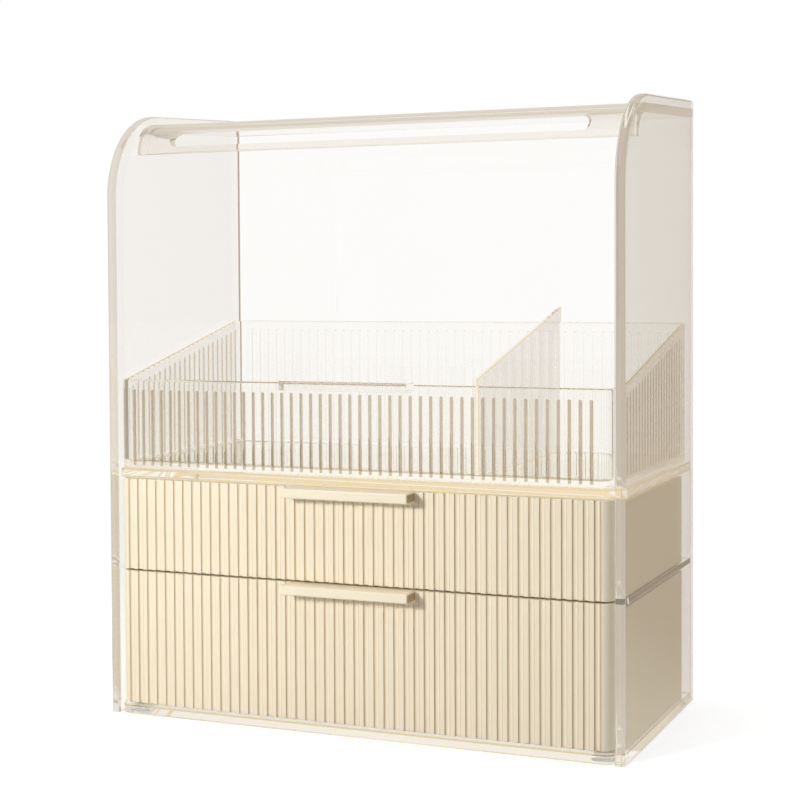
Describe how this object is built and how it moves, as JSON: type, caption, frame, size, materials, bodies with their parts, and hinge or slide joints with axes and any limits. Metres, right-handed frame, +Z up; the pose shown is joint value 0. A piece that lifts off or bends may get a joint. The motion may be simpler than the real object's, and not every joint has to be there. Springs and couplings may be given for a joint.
{
  "type": "makeup storage case",
  "caption": "Clear-sided makeup storage case with fluted drawers, a ribbed pull-out tray and a slotted carrying handle along the top.",
  "frame": {"origin": "centre of the case's footprint, handles included, on the surface that it stands on", "axes": "+Z up, -Y out of the front that the drawers open to, +X to the right as seen from the front"},
  "size_m": [0.3, 0.161, 0.3488],
  "materials": {
    "clear_panel": "polished clear acrylic with a champagne tint",
    "clear_tray": "polished clear acrylic",
    "cream": "satin cream plastic",
    "silicone": "matte translucent silicone",
    "steel": "plated screw"
  },
  "bodies": {
    "casing": {"left_side_panel": "clear_panel", "right_side_panel": "clear_panel", "back_panel": "clear_panel", "top_cover": "clear_panel", "tray_shelf": "clear_panel", "drawer_shelf": "clear_panel", "base_plate": "clear_panel", "foot_pads": "silicone"},
    "lower_drawer": {"lower_drawer_front": "cream", "lower_drawer_box": "cream", "lower_drawer_pull": "cream", "lower_pull_screws": "steel", "lower_front_screws": "steel"},
    "upper_drawer": {"upper_drawer_front": "cream", "upper_drawer_box": "cream", "upper_drawer_pull": "cream", "upper_pull_screws": "steel", "upper_front_screws": "steel"},
    "tray": {"tray_body": "clear_tray", "tray_divider": "clear_tray", "tray_pull": "clear_tray"}
  },
  "joints": [
    {"name": "lower_drawer_slide", "type": "slide", "parent": "casing", "child": "lower_drawer", "axis": [0, -1, 0], "range_m": [0, 0.1]},
    {"name": "upper_drawer_slide", "type": "slide", "parent": "casing", "child": "upper_drawer", "axis": [0, -1, 0], "range_m": [0, 0.1]},
    {"name": "tray_slide", "type": "slide", "parent": "casing", "child": "tray", "axis": [0, -1, 0], "range_m": [0, 0.11]}
  ]
}
